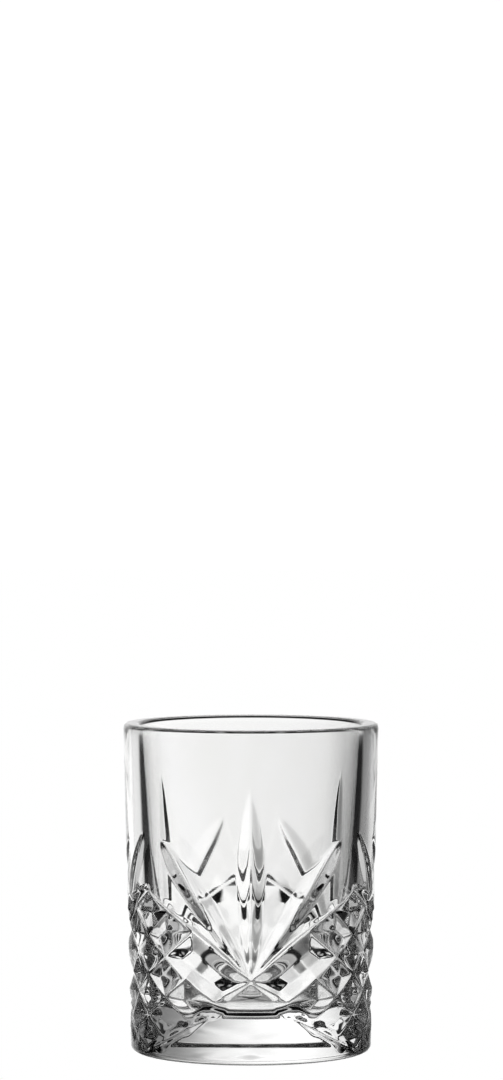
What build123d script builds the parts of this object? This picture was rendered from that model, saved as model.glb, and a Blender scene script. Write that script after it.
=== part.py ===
"""Pressed-crystal shot glass: one moulded piece of clear glass.

Millimetres, +Z up. The origin is the centre of the foot, on the surface the glass stands on. Angles run
round the glass from the front (-Y) towards +X.

The wall flares gently upwards and carries a moulded cut-crystal pattern that repeats three times round it.
Each repeat is a fan of three pointed mitre cuts springing from a hub, and a framed panel of diamonds midway
between two hubs. Every cut is a V groove laid on the unrolled wall. Its upper and lower flank each keep one
slope, so a cut is wide where it is deep and comes to a point where its depth runs out.
"""

import os
from math import atan2, cos, pi, radians, sin

from build123d import *

os.makedirs("parts", exist_ok=True)

# Outside of the body.
HEIGHT = 64.2
RIM_RADIUS = 25.0
HEEL_RADIUS = 23.5
HEEL_ROUND = 1.2

# Hollow for the drink. Its straight side runs from the floor's corner to the lip's corner.
MOUTH_RADIUS = 21.6
FLOOR_HEIGHT = 8.3
FLOOR_RADIUS = 17.8
FLOOR_ROUND = 3.5
LIP_OUTER_ROUND = 0.8
LIP_INNER_ROUND = 1.0

# Shallow recess under the foot, which leaves a ring to stand on.
RECESS_RADIUS = 17.5
RECESS_DEPTH = 0.4
RECESS_TAPER = 2.5

# Pattern layout.
FRONT = -90  # direction of the first hub
REPEATS = 3
REPEAT_ANGLE = 360 / REPEATS
PANEL_ANGLE = REPEAT_ANGLE / 2  # from a hub to the middle of the next diamond panel
HUB_HEIGHT = 16.3
PANEL_TOP = 32.4
PANEL_BOTTOM = 2.0
DIAMOND_MIDDLE = 16.2  # height of the panel's middle crossing
DIAMOND_ANGLE = 13.4  # half the width of one diamond
DIAMOND_HEIGHT = 3.9  # half the height of one diamond

# Ends of the cuts: the upright leaf's height, and the others as (degrees from the hub, height).
LEAF_TOP = 52.5
SIDE_LEAF_TIP = (45, 42.7)
SLIVER_ENDS = ((16, 10.0), (57, 1.6))

# Flank slopes, upper and lower: depth lost per millimetre away from the valley of the cut.
LEAF_SLOPES = (0.38, 0.38)
SIDE_LEAF_SLOPES = (0.33, 0.53)
BORDER_SLOPES = (1.4, 0.47)
SKIRT_SLOPES = (0.2, 0.25)
SLIVER_SLOPES = (0.5, 0.5)
DIAMOND_SLOPES = (0.36, 0.36)

# Depths of the cuts at even steps along each one.
LEAF_DEPTHS = (0.19, 0.61, 0.88, 1.02, 1.03, 0.69, -0.05)
SIDE_LEAF_DEPTHS = (0.2, 0.53, 0.78, 0.95, 0.98, 0.87, -0.05)
BORDER_DEPTHS = (0.2, 1.2, 1.4, 1.4, 1.35, 1.3)
SKIRT_DEPTHS = (0.2, 0.28, 0.31, 0.32, 0.32, 0.32)
SLIVER_DEPTHS = (-0.05, 0.37, 0.55, 0.55, 0.37, -0.05)
BORDER_BOW = 1.2  # rise of the border's valley above a straight line
DIAMOND_DEPTH = 1.15
DIAMOND_FOOT_DEPTH = 0.5
DIAMOND_FADE = (4.5, 9.3)  # heights between which the diamonds reach their full depth
DIAMOND_STEPS = 6
CLEARANCE = 0.8  # how far a cutter stands out of the wall


def wall_radius(height):
    """Outside radius of the uncut wall."""
    return HEEL_RADIUS + (RIM_RADIUS - HEEL_RADIUS) * height / HEIGHT


def groove(start, end, depths, slopes, bow=0.0):
    """Cutter for a V groove from start to end, each (angle, height), with its depth at even steps."""
    turn, rise = end[0] - start[0], end[1] - start[1]
    run = radians(turn) * wall_radius((start[1] + end[1]) / 2)
    lean = atan2(rise, run)
    # The section's x axis points down the wall on a groove that runs towards +angle, up on the others.
    first, second = (slopes[1], slopes[0]) if turn > 0 else slopes
    with BuildPart() as cutter:
        for step, depth in enumerate(depths):
            share = step / (len(depths) - 1)
            height = start[1] + rise * share + bow * sin(pi * share)
            facing = radians(FRONT + start[0] + turn * share)
            out = Vector(cos(facing), sin(facing), 0)
            around = Vector(-sin(facing), cos(facing), 0)
            along = around * cos(lean) + Vector(0, 0, sin(lean))
            seat = out * wall_radius(height) + Vector(0, 0, height)
            tall = depth + CLEARANCE
            with BuildSketch(Plane(origin=seat, x_dir=out.cross(along), z_dir=along)):
                Polygon((0, -depth), (tall / first, CLEARANCE), (-tall / second, CLEARANCE), align=None)
        loft(ruled=True)
    return cutter.part


def both_ways(hub, start, end, depths, slopes, bow=0.0):
    """The same groove to the left and to the right of a hub."""
    return [groove((hub + side * start[0], start[1]), (hub + side * end[0], end[1]), depths, slopes, bow)
            for side in (-1, 1)]


def diamond_depth(height):
    """Depth of the diamond grooves, which fades towards the foot."""
    low, full = DIAMOND_FADE
    share = min(max((height - low) / (full - low), 0), 1)
    return DIAMOND_FOOT_DEPTH + (DIAMOND_DEPTH - DIAMOND_FOOT_DEPTH) * share


def diamond_grooves(hub):
    """Crossing grooves of the panel that follows a hub, each from the panel's lower border to its upper.
    The lowest pair stops two crossings out, which leaves a plain field beside each hub."""
    middle = hub + PANEL_ANGLE
    lean = DIAMOND_HEIGHT / DIAMOND_ANGLE
    upper_border = (PANEL_TOP - HUB_HEIGHT) / PANEL_ANGLE
    lower_border = (HUB_HEIGHT - PANEL_BOTTOM) / PANEL_ANGLE
    grooves = []
    for row in (-1, 0, 1):
        height = DIAMOND_MIDDLE + 2 * DIAMOND_HEIGHT * row
        reach_down = (height - PANEL_BOTTOM) / (lean + lower_border)
        reach_up = (PANEL_TOP - height) / (lean + upper_border)
        if row < 0:
            reach_up = 2 * DIAMOND_ANGLE
        for side in (-1, 1):
            low = (middle - side * reach_down, height - lean * reach_down)
            high = (middle + side * reach_up, height + lean * reach_up)
            climb = (high[1] - low[1]) / (DIAMOND_STEPS - 1)
            depths = [diamond_depth(low[1] + climb * step) for step in range(DIAMOND_STEPS)]
            grooves.append(groove(low, high, depths, DIAMOND_SLOPES))
    return grooves


spring = (0, HUB_HEIGHT)
cutters = []
for repeat in range(REPEATS):
    hub = repeat * REPEAT_ANGLE
    cutters.append(groove((hub, HUB_HEIGHT), (hub, LEAF_TOP), LEAF_DEPTHS, LEAF_SLOPES))
    cutters += both_ways(hub, spring, SIDE_LEAF_TIP, SIDE_LEAF_DEPTHS, SIDE_LEAF_SLOPES)
    cutters += both_ways(hub, spring, (PANEL_ANGLE, PANEL_TOP), BORDER_DEPTHS, BORDER_SLOPES, BORDER_BOW)
    cutters += both_ways(hub, spring, (PANEL_ANGLE, PANEL_BOTTOM), SKIRT_DEPTHS, SKIRT_SLOPES)
    cutters += both_ways(hub, *SLIVER_ENDS, SLIVER_DEPTHS, SLIVER_SLOPES)
    cutters += diamond_grooves(hub)

with BuildPart() as glass:
    # Body, hollow and recess in one turned profile, with its corners in order from the foot's centre.
    with BuildSketch(Plane.XZ) as profile:
        with BuildLine():
            Polyline(
                (0, RECESS_DEPTH),
                (RECESS_RADIUS - RECESS_TAPER, RECESS_DEPTH),
                (RECESS_RADIUS, 0),
                (HEEL_RADIUS, 0),
                (RIM_RADIUS, HEIGHT),
                (MOUTH_RADIUS, HEIGHT),
                (FLOOR_RADIUS, FLOOR_HEIGHT),
                (0, FLOOR_HEIGHT),
                close=True,
            )
        make_face()
        for corner, radius in (
            ((HEEL_RADIUS, 0), HEEL_ROUND),
            ((RIM_RADIUS, HEIGHT), LIP_OUTER_ROUND),
            ((MOUTH_RADIUS, HEIGHT), LIP_INNER_ROUND),
            ((FLOOR_RADIUS, FLOOR_HEIGHT), FLOOR_ROUND),
        ):
            fillet(profile.vertices().sort_by_distance(corner)[0], radius)
    revolve(axis=Axis.Z)
    # The moulded pattern.
    for cutter in cutters:
        add(cutter, mode=Mode.SUBTRACT)

glass.part.label = "glass"
export_step(glass.part, "parts/glass.step")
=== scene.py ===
"""Pressed-crystal shot glass: the refined glass body, the studio and the camera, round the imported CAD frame.

The glass stands on the origin, +Z up. Angles run round it from the front (-Y) towards +X. Lengths of the
glass are in millimetres here and become metres when its mesh is made.
"""

from math import cos, hypot, pi, radians, sin

import bpy
import numpy as np
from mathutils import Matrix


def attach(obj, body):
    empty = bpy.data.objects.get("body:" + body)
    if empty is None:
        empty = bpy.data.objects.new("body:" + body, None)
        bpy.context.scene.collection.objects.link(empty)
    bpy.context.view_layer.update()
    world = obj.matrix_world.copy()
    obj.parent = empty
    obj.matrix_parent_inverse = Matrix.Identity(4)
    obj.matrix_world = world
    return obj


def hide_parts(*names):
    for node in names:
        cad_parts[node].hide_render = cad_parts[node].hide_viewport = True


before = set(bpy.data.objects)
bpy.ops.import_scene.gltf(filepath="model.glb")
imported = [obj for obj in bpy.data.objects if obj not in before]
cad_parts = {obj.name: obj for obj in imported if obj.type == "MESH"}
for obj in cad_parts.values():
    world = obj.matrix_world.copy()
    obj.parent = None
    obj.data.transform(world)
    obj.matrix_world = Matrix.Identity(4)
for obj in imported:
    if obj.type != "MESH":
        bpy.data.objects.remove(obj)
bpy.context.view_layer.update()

MM = 0.001

# ---------------------------------------------------------------- body
HEIGHT = 64.2
RIM_RADIUS = 25.0
HEEL_RADIUS = 23.5
HEEL_ROUND = 1.2
MOUTH_RADIUS = 21.6
FLOOR_HEIGHT = 8.3
FLOOR_RADIUS = 17.8
FLOOR_ROUND = 3.5
LIP_ROUND = 0.8
LIP_INNER = 1.0
LIP_FLAT = 0.1  # flat ledge on the lip beside each of its two rounds
RECESS_RADIUS = 17.5
RECESS_DEPTH = 0.4
RECESS_TAPER = 2.5
RECESS_EDGE = ((0.4, 0.0), (0.0, 0.05))  # softened brink of the recess: step out from it, height

# ---------------------------------------------------------------- mesh density
COLUMNS = 504  # round the outside, a multiple of INNER_SHARE times the pattern's 3 repeats
INNER_SHARE = 3  # outside columns per inside column
FINE_STEP = 0.32  # between the rows up to FINE_TOP, which hold the close pattern
FINE_TOP = 45.0
COARSE_START = 45.4
COARSE_ROWS = 20
HEEL_ROWS = 7
LIP_ROWS = 8
LIP_INNER_ROWS = 10
SIDE_ROWS = 14
SIDE_START = 2.0  # below the inner lip round
CORNER_ROWS = 14
FLOOR_ROWS = 6
RECESS_RINGS = (12.0, 8.0, 4.0)  # radii

# ---------------------------------------------------------------- pattern
PANEL_ANGLE = 60.0  # from a hub to the middle of the next diamond panel
HUB_HEIGHT = 16.3
LEAF_TOP = 52.5
SIDE_LEAF_TIP = (45, 42.7)
SLIVER_ENDS = ((16, 10.0), (57, 1.6))
PANEL_TOP = 32.4
PANEL_BOTTOM = 2.0
DIAMOND_MIDDLE = 16.2
DIAMOND_ANGLE = 13.4  # half the width of one diamond
DIAMOND_HEIGHT = 3.9  # half the height of one diamond
FRONT = -90.0  # direction of the first hub, in degrees from +X

# Cross-sections of the cuts: half-widths on the upper and lower side and depth, at shares of the cut's
# length; how rounded each side is, from 0 for a plain V to 1; and how far it bows above its straight line.
LEAF = dict(at=(0, 0.1, 0.2, 0.3, 0.45, 0.6, 0.7, 0.8, 0.9, 1),
            upper=(0.5, 1.2, 1.8, 2.2, 2.6, 2.85, 2.6, 2.0, 1.27, 0.05),
            lower=(0.5, 1.2, 1.8, 2.2, 2.6, 2.85, 2.6, 2.0, 1.27, 0.05),
            depth=(0.19, 0.46, 0.68, 0.84, 0.99, 1.08, 1.0, 0.78, 0.5, 0.0),
            round=(0.35, 0.35), bow=0.0)
SIDE_LEAF = dict(at=(0, 0.15, 0.3, 0.5, 0.7, 0.85, 0.95, 1),
                 upper=(0.5, 1.4, 2.3, 3.2, 3.2, 2.2, 1.3, 0.1),
                 lower=(0.4, 0.9, 1.4, 1.7, 1.9, 1.8, 1.0, 0.1),
                 depth=(0.2, 0.5, 0.75, 0.95, 1.0, 0.85, 0.48, 0.0),
                 round=(0.5, 0.35), bow=0.0)
BORDER = dict(at=(0, 0.1, 0.2, 0.35, 1),
              upper=(0.3, 0.5, 0.8, 1.0, 1.0),
              lower=(0.6, 2.2, 2.8, 3.0, 2.8),
              depth=(0.2, 0.8, 1.2, 1.4, 1.3),
              round=(0.3, 0.1), bow=1.2)
SKIRT = dict(at=(0, 0.3, 0.6, 1),
             upper=(0.5, 1.2, 1.6, 1.6),
             lower=(0.5, 1.2, 1.4, 1.2),
             depth=(0.2, 0.3, 0.32, 0.32),
             round=(0.7, 0.7), bow=0.0)
SLIVER = dict(at=(0, 0.3, 0.7, 1),
              upper=(0.1, 1.1, 1.1, 0.1),
              lower=(0.1, 1.1, 1.1, 0.1),
              depth=(0.0, 0.55, 0.55, 0.0),
              round=(0.2, 0.2), bow=0.0)
DIAMOND_WIDTH = 3.2
DIAMOND_DEPTHS = ((0, 5, 9, 40), (0.45, 0.6, 1.1, 1.15))  # heights, and the depth at each
DIAMOND_ROUND = 0.1
CROSS_SOFT = 0.12  # softness of the ridge where two cuts meet
CROSS_FADE = 0.2  # depth below which that softness fades out
LIP_FADE = 0.5  # height over which any cut fades out under the lip

# ---------------------------------------------------------------- glass
REFRACTION = 1.52
CLEAR_TINT = (0.985, 0.985, 0.98)
TINT_SIZE = 0.009  # metres
TINT_STRETCH = 2.0
TINT_DETAIL = 2.0
TINT_BAND = (0.35, 0.65)
WAVE_SIZE = 0.006  # metres
WAVE_STRETCH = 2.5
WAVE_DETAIL = 1.0
WAVE_HEIGHT = 0.00002  # metres

# ---------------------------------------------------------------- studio light
# A white light tent with dark gaps, which draw the dark lines in the glass. Each patch is one brightness
# profile round the compass times one over the height, both as (degrees, level) stops. Azimuth 0 lies behind
# the glass (+Y), positive to the right (+X).
WINDOW = (
    ((-180, 0.02), (-60, 0.0), (-43.5, 0.0), (-39, 0.86), (-36, 0.92), (-28, 1.02), (-18, 1.14), (-10, 1.12),
     (0, 1.03), (8, 0.96), (14, 0.79), (20, 0.56), (28, 0.4), (36, 0.35), (39, 0.35), (43.5, 0.0), (60, 0.0),
     (180, 0.02)),
    ((-90, 0.0), (-25, 0.0), (-19, 1.0), (13, 1.0), (17, 0.0), (90, 0.0)),
)
SKIRTING = (
    ((-180, 0.0), (-46, 0.0), (-40, 0.6), (40, 0.6), (46, 0.0), (180, 0.0)),
    ((-90, 0.0), (-58, 0.0), (-52, 1.0), (-41, 1.0), (-37, 0.0), (90, 0.0)),
)
SURROUND = (
    ((-180, 0.8), (-100, 0.8), (-80, 0.6), (-67, 0.3), (-58, 0.03), (-44, 0.03), (-40, 0.0),
     (40, 0.0), (44, 0.03), (58, 0.03), (67, 0.3), (80, 0.6), (100, 0.8), (180, 0.8)),
    ((-90, 0.0), (-40, 0.0), (-34, 1.0), (-14, 1.0), (-9, 0.0), (9, 0.0), (13, 0.25), (22, 0.25), (26, 0.0),
     (90, 0.0)),
)
LOW_SIDES = (
    ((-180, 0.0), (-80, 0.0), (-67, 0.3), (-58, 0.75), (-44, 0.75), (-38, 0.0),
     (38, 0.0), (44, 0.75), (58, 0.75), (67, 0.3), (80, 0.0), (180, 0.0)),
    ((-90, 0.0), (-40, 0.0), (-34, 1.0), (-16, 1.0), (-12.5, 0.0), (90, 0.0)),
)
BENEATH = (
    ((-180, 0.45), (-90, 0.45), (-50, 0.75), (50, 0.75), (90, 0.45), (180, 0.45)),
    ((-90, 0.0), (-70, 0.0), (-66, 1.0), (-57, 1.0), (-53, 0.0), (90, 0.0)),
)
UPPER = (
    ((-180, 0.0), (-90, 0.0), (-35, 0.0), (-25, 0.8), (25, 0.8), (35, 0.0), (90, 0.0), (180, 0.0)),
    ((-90, 0.0), (12, 0.0), (17, 1.0), (32, 1.0), (38, 0.0), (90, 0.0)),
)
OVERHEAD = (
    ((-180, 0.3), (180, 0.3)),
    ((-90, 0.0), (60, 0.0), (70, 1.0), (90, 1.0)),
)
FLOOR_SIZE = 6.0  # metres
FLOOR_DROP = 0.0002  # metres below the foot

# ---------------------------------------------------------------- camera
LENS = 147.44
SENSOR = 36
CAMERA_PLACE = (0.00011, -0.8651, 0.12184)
CAMERA_DIP = 1.45  # degrees below level
DISPLAY_GAMMA = 0.72
BOUNCES = 24
GLOSSY_BOUNCES = 16


def wall_radius(height):
    """Radius of the outside before any cut."""
    return HEEL_RADIUS + (RIM_RADIUS - HEEL_RADIUS) * height / HEIGHT


def cut_list():
    """Cuts within half a repeat of a hub at angle 0, as (start, end, form). Diamond cuts have no form."""
    hub = (0, HUB_HEIGHT)
    cuts = [
        (hub, (0, LEAF_TOP), LEAF),
        (hub, SIDE_LEAF_TIP, SIDE_LEAF),
        (hub, (PANEL_ANGLE, PANEL_TOP), BORDER),
        (hub, (PANEL_ANGLE, PANEL_BOTTOM), SKIRT),
        (*SLIVER_ENDS, SLIVER),
    ]
    lean = DIAMOND_HEIGHT / DIAMOND_ANGLE
    upper = (PANEL_TOP - HUB_HEIGHT) / PANEL_ANGLE
    lower = (HUB_HEIGHT - PANEL_BOTTOM) / PANEL_ANGLE
    for row in (-1, 0, 1):
        height = DIAMOND_MIDDLE + 2 * DIAMOND_HEIGHT * row
        down = (height - PANEL_BOTTOM) / (lean + lower)
        # The lowest pair stops two crossings out, which leaves a plain field beside each hub.
        up = 2 * DIAMOND_ANGLE if row < 0 else (PANEL_TOP - height) / (lean + upper)
        low = (PANEL_ANGLE - down, height - lean * down)
        high = (PANEL_ANGLE + up, height + lean * up)
        cuts.append((low, high, None))
    # The same cuts mirrored about the hub, then about the panel's middle.
    mirrored = [((-a0, z0), (-a1, z1), form) for (a0, z0), (a1, z1), form in cuts[1:4]]
    mirrored += [((2 * PANEL_ANGLE - a0, z0), (2 * PANEL_ANGLE - a1, z1), form)
                 for (a0, z0), (a1, z1), form in cuts if a1 >= SIDE_LEAF_TIP[0]]
    return cuts + mirrored


def smooth_max(a, b, softness):
    return 0.5 * (a + b + np.sqrt((a - b) ** 2 + softness**2))


def pattern_depth(angle, height):
    """How far the surface lies inside the plain wall, for arrays of angle (from a hub) and height."""
    angle = np.abs(angle)
    total = np.zeros_like(angle)
    for (a0, z0), (a1, z1), form in cut_list():
        middle = wall_radius((z0 + z1) / 2)
        run, rise = radians(a1 - a0) * middle, z1 - z0
        length = hypot(run, rise)
        ux, uz = run / length, rise / length
        dx, dz = np.radians(angle - a0) * middle, height - z0
        share = (dx * ux + dz * uz) / length
        beyond = np.maximum(np.maximum(-share, share - 1), 0) * length
        share = np.clip(share, 0, 1)
        side = dz * ux - dx * uz  # positive above the cut's line
        if ux < 0:
            side = -side
        if form is None:
            depth = np.interp(z0 + share * rise, *DIAMOND_DEPTHS)
            width, rounding = DIAMOND_WIDTH, DIAMOND_ROUND
        else:
            side = side - form["bow"] * np.sin(pi * share)
            depth = np.interp(share, form["at"], form["depth"])
            above, below = (np.interp(share, form["at"], form[edge]) for edge in ("upper", "lower"))
            width = np.where(side > 0, above, below)
            rounding = np.where(side > 0, *form["round"])
        across = np.clip(np.hypot(side, beyond) / width, 0, 1)
        cut = depth * ((1 - rounding) * (1 - across) + rounding * 0.5 * (1 + np.cos(pi * across)))
        softness = CROSS_SOFT * np.minimum(1, np.minimum(total, cut) / CROSS_FADE)
        total = smooth_max(total, cut, softness)
    return total


def arc(centre, radius, start, end, count):
    """Points of a profile arc, ends included, angles in degrees from +X towards +Z."""
    turn = np.radians(np.linspace(start, end, count))
    return [(centre[0] + radius * cos(t), centre[1] + radius * sin(t)) for t in turn]


def outside_rows():
    """Rows (radius, height) of the plain outside, from the foot's edge up to the lip."""
    rows = arc((wall_radius(HEEL_ROUND) - HEEL_ROUND, HEEL_ROUND), HEEL_ROUND, -90, 0, HEEL_ROWS)
    fine = np.arange(HEEL_ROUND + FINE_STEP, FINE_TOP, FINE_STEP)
    coarse = np.linspace(COARSE_START, HEIGHT - LIP_ROUND, COARSE_ROWS)
    rows += [(wall_radius(height), height) for height in (*fine, *coarse)]
    lip_radius = wall_radius(HEIGHT - LIP_ROUND) - LIP_ROUND
    rows += arc((lip_radius, HEIGHT - LIP_ROUND), LIP_ROUND, 0, 90, LIP_ROWS)[1:]
    rows += [(lip_radius - LIP_FLAT, HEIGHT)]
    return np.array(rows)


def inside_rows():
    """Rows of the hollow, from the lip down to near the middle of its floor."""

    def wall_at(height):
        widening = MOUTH_RADIUS - FLOOR_RADIUS
        return FLOOR_RADIUS + widening * (height - FLOOR_HEIGHT) / (HEIGHT - FLOOR_HEIGHT)

    lip = arc((MOUTH_RADIUS + LIP_INNER, HEIGHT - LIP_INNER), LIP_INNER, 90, 180, LIP_INNER_ROWS)
    corner_height = FLOOR_HEIGHT + FLOOR_ROUND
    corner_radius = wall_at(corner_height) - FLOOR_ROUND
    rows = [(lip[0][0] + LIP_FLAT, HEIGHT)] + lip
    side = np.linspace(HEIGHT - LIP_INNER - SIDE_START, corner_height, SIDE_ROWS)
    rows += [(wall_at(height), height) for height in side]
    rows += arc((corner_radius, corner_height), FLOOR_ROUND, 0, -90, CORNER_ROWS)[1:]
    rows += [(radius, FLOOR_HEIGHT) for radius in np.linspace(corner_radius, 0, FLOOR_ROWS)[1:-1]]
    return np.array(rows)


def underside_rows():
    """Rows of the underside, from the foot's edge in to near the middle of the recess."""
    rows = [(RECESS_RADIUS + out, height) for out, height in RECESS_EDGE]
    rows += [(radius, RECESS_DEPTH) for radius in (RECESS_RADIUS - RECESS_TAPER, *RECESS_RINGS)]
    return np.array(rows)


def build_glass():
    outer, inner, under = outside_rows(), inside_rows(), underside_rows()
    coarse = COLUMNS // INNER_SHARE
    step = 360.0 / COLUMNS
    columns = np.arange(COLUMNS) * step
    from_hub = (columns + PANEL_ANGLE) % (2 * PANEL_ANGLE) - PANEL_ANGLE
    angles, heights = np.meshgrid(from_hub, outer[:, 1])
    fade = np.clip((HEIGHT - LIP_ROUND - heights) / LIP_FADE, 0, 1)
    carved = outer[:, 0][:, None] - pattern_depth(angles, heights) * fade

    def rings(radius, height, turn):
        height = np.broadcast_to(height, radius.shape)
        return np.stack([radius * np.cos(turn), radius * np.sin(turn), height], -1).reshape(-1, 3)

    def plain_rings(rows):
        turn = np.radians(np.arange(coarse) * step * INNER_SHARE + FRONT)
        return rings(rows[:, 0][:, None] + 0 * turn, rows[:, 1][:, None], turn)

    points = np.concatenate([
        rings(carved, outer[:, 1][:, None], np.radians(columns + FRONT)),
        plain_rings(inner),
        plain_rings(under),
        [[0, 0, FLOOR_HEIGHT], [0, 0, RECESS_DEPTH]],
    ])
    floor_middle, recess_middle = len(points) - 2, len(points) - 1
    top = (len(outer) - 1) * COLUMNS
    inner_start = len(outer) * COLUMNS
    under_start = inner_start + len(inner) * coarse
    inner_end, under_end = under_start - coarse, floor_middle - coarse
    faces = []

    def band(start, rows, count, flip):
        """Quads between neighbouring rows of count points."""
        for row in range(rows - 1):
            low, high = start + row * count, start + (row + 1) * count
            for c in range(count):
                d = (c + 1) % count
                face = (low + c, low + d, high + d, high + c)
                faces.append(face[::-1] if flip else face)

    def seam(fine, rough, flip):
        """Faces between a fine row and a coarse row."""
        for c in range(coarse):
            d = (c + 1) % coarse
            chain = [fine + (c * INNER_SHARE + k) % COLUMNS for k in range(INNER_SHARE + 1)]
            face = (*chain, rough + d, rough + c)
            faces.append(face[::-1] if flip else face)

    band(0, len(outer), COLUMNS, False)
    seam(top, inner_start, False)
    seam(0, under_start, True)
    band(inner_start, len(inner), coarse, False)
    band(under_start, len(under), coarse, True)
    for c in range(coarse):
        d = (c + 1) % coarse
        faces.append((inner_end + c, inner_end + d, floor_middle))
        faces.append((under_end + d, under_end + c, recess_middle))
    mesh = bpy.data.meshes.new("glass_body")
    mesh.from_pydata((points * MM).tolist(), [], faces)
    mesh.validate()
    mesh.shade_smooth()
    piece = bpy.data.objects.new("glass_body", mesh)
    bpy.context.collection.objects.link(piece)
    return piece


def glass_material():
    """Clear glass with the faint waviness and the faint streaks of tint that pressing leaves."""
    material = bpy.data.materials.new("clear_glass")
    material.use_nodes = True
    nodes, links = material.node_tree.nodes, material.node_tree.links
    shader = nodes["Principled BSDF"]
    shader.inputs["Roughness"].default_value = 0.0
    shader.inputs["IOR"].default_value = REFRACTION
    shader.inputs["Transmission Weight"].default_value = 1.0
    place = nodes.new("ShaderNodeTexCoord")

    def noise(size, stretch, detail):
        """Noise with features about size metres wide, drawn out upwards by stretch."""
        scale = nodes.new("ShaderNodeMapping")
        scale.inputs["Scale"].default_value = (1 / size, 1 / size, 1 / (size * stretch))
        links.new(place.outputs["Object"], scale.inputs["Vector"])
        texture = nodes.new("ShaderNodeTexNoise")
        texture.inputs["Scale"].default_value = 1.0
        texture.inputs["Detail"].default_value = detail
        links.new(scale.outputs["Vector"], texture.inputs["Vector"])
        return texture.outputs["Fac"]

    tint = nodes.new("ShaderNodeValToRGB")
    for mark, position, colour in zip(tint.color_ramp.elements, TINT_BAND, (CLEAR_TINT, (1, 1, 1))):
        mark.position = position
        mark.color = (*colour, 1)
    links.new(noise(TINT_SIZE, TINT_STRETCH, TINT_DETAIL), tint.inputs["Fac"])
    links.new(tint.outputs["Color"], shader.inputs["Base Color"])
    wave = nodes.new("ShaderNodeBump")
    wave.inputs["Strength"].default_value = 1.0
    wave.inputs["Distance"].default_value = WAVE_HEIGHT
    links.new(noise(WAVE_SIZE, WAVE_STRETCH, WAVE_DETAIL), wave.inputs["Height"])
    links.new(wave.outputs["Normal"], shader.inputs["Normal"])
    return material


def build_floor():
    """Plain white floor, seen directly but not through the glass, which the tent alone lights."""
    material = bpy.data.materials.new("floor")
    material.use_nodes = True
    nodes, links = material.node_tree.nodes, material.node_tree.links
    nodes.clear()
    out = nodes.new("ShaderNodeOutputMaterial")
    glow = nodes.new("ShaderNodeEmission")
    glow.inputs["Color"].default_value = (1, 1, 1, 1)
    glow.inputs["Strength"].default_value = 1.0
    links.new(glow.outputs[0], out.inputs[0])
    bpy.ops.mesh.primitive_plane_add(size=FLOOR_SIZE, location=(0, 0, -FLOOR_DROP))
    floor = bpy.context.object
    floor.name = "floor"
    floor.data.materials.append(material)
    floor.visible_transmission = False
    floor.visible_glossy = False
    floor.visible_diffuse = False
    return floor


def build_studio():
    """World that lights the glass with the patches, and shows plain white behind it."""
    world = bpy.data.worlds.new("studio")
    world.use_nodes = True
    nodes, links = world.node_tree.nodes, world.node_tree.links
    direction = nodes.new("ShaderNodeTexCoord")
    split = nodes.new("ShaderNodeSeparateXYZ")
    links.new(direction.outputs["Generated"], split.inputs[0])

    def maths(operation, *values):
        node = nodes.new("ShaderNodeMath")
        node.operation = operation
        for socket, value in zip(node.inputs, values):
            links.new(value, socket)
        return node.outputs[0]

    def profile(angle, reach, stops):
        """Brightness read off the stops for an angle in radians within plus or minus reach degrees."""
        place = nodes.new("ShaderNodeMapRange")
        links.new(angle, place.inputs["Value"])
        place.inputs["From Min"].default_value = -radians(reach)
        place.inputs["From Max"].default_value = radians(reach)
        ramp = nodes.new("ShaderNodeValToRGB")
        ramp.color_ramp.interpolation = "LINEAR"
        marks = ramp.color_ramp.elements
        while len(marks) > 1:
            marks.remove(marks[-1])
        for index, (degrees, level) in enumerate(stops):
            spot = (degrees + reach) / (2 * reach)
            mark = marks.new(spot) if index else marks[0]
            mark.position = spot
            mark.color = (level, level, level, 1)
        links.new(place.outputs[0], ramp.inputs[0])
        return ramp.outputs[0]

    azimuth = maths("ARCTAN2", split.outputs["X"], split.outputs["Y"])
    height = maths("ARCSINE", split.outputs["Z"])
    patches = [maths("MULTIPLY", profile(azimuth, 180, around), profile(height, 90, over))
               for around, over in (WINDOW, SKIRTING, SURROUND, LOW_SIDES, BENEATH, UPPER, OVERHEAD)]
    light = patches[0]
    for patch in patches[1:]:
        light = maths("ADD", light, patch)
    path = nodes.new("ShaderNodeLightPath")
    glow = nodes["Background"]
    glow.inputs["Color"].default_value = (1, 1, 1, 1)
    links.new(maths("MAXIMUM", light, path.outputs["Is Camera Ray"]), glow.inputs["Strength"])
    return world


def build_camera():
    data = bpy.data.cameras.new("camera")
    data.lens = LENS
    data.sensor_width = SENSOR
    camera = bpy.data.objects.new("camera", data)
    camera.location = CAMERA_PLACE
    camera.rotation_euler = (radians(90 - CAMERA_DIP), 0, 0)
    bpy.context.collection.objects.link(camera)
    return camera


glass = build_glass()
glass.data.materials.append(glass_material())
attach(glass, "root")
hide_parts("glass")
build_floor()

scene = bpy.context.scene
scene.world = build_studio()
scene.camera = build_camera()
scene.view_settings.view_transform = "Standard"
scene.view_settings.gamma = DISPLAY_GAMMA
scene.cycles.max_bounces = BOUNCES
scene.cycles.transmission_bounces = BOUNCES
scene.cycles.glossy_bounces = GLOSSY_BOUNCES
